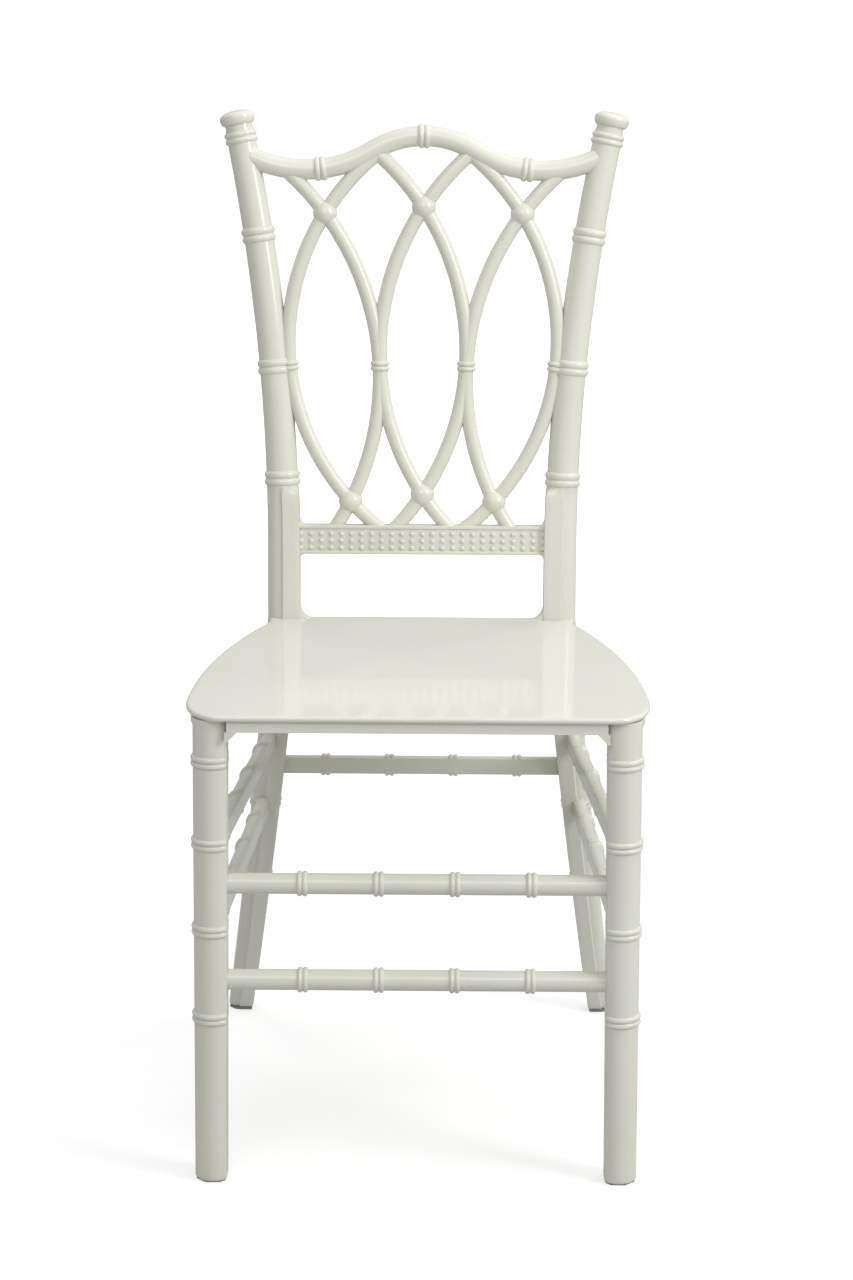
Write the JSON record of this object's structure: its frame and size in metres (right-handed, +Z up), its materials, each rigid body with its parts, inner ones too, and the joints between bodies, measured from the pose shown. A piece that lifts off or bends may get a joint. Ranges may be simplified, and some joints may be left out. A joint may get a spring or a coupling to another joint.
{
  "type": "chiavari dining chair",
  "caption": "Glossy off-white moulded chair of the bamboo pattern, with a flat ribbed seat, splayed rear legs, ringed stretchers and a back of crossing bent ribs under a humped crest rail.",
  "frame": {"origin": "on the floor, under the middle of the whole chair", "axes": "+X to the viewer's right as one faces the seat's front edge, +Y to the chair's back, +Z up"},
  "size_m": [0.409, 0.4662, 0.93],
  "materials": {
    "ivory_resin": "smooth moulded gloss, warm off-white",
    "foot_glide": "matt grey",
    "zinc_steel": "zinc plated"
  },
  "bodies": {
    "root": {"centre_left_rib": "ivory_resin", "centre_right_rib": "ivory_resin", "corner_bolts": "zinc_steel", "crest_rail": "ivory_resin", "front_apron": "ivory_resin", "front_lower_stretcher": "ivory_resin", "front_upper_stretcher": "ivory_resin", "left_back_post": "ivory_resin", "left_finial": "ivory_resin", "left_front_corner_block": "ivory_resin", "left_front_glide": "foot_glide", "left_front_leg": "ivory_resin", "left_inner_rib": "ivory_resin", "left_lower_stretcher": "ivory_resin", "left_outer_rib": "ivory_resin", "left_rear_corner_block": "ivory_resin", "left_rear_glide": "foot_glide", "left_seat_rail": "ivory_resin", "left_upper_stretcher": "ivory_resin", "left_waist_collar": "ivory_resin", "lumbar_rail": "ivory_resin", "rear_seat_rail": "ivory_resin", "rear_stretcher": "ivory_resin", "right_back_post": "ivory_resin", "right_finial": "ivory_resin", "right_front_corner_block": "ivory_resin", "right_front_glide": "foot_glide", "right_front_leg": "ivory_resin", "right_inner_rib": "ivory_resin", "right_lower_stretcher": "ivory_resin", "right_outer_rib": "ivory_resin", "right_rear_corner_block": "ivory_resin", "right_rear_glide": "foot_glide", "right_seat_rail": "ivory_resin", "right_upper_stretcher": "ivory_resin", "right_waist_collar": "ivory_resin", "seat_screws": "zinc_steel", "seat_shell": "ivory_resin"}
  },
  "joints": []
}
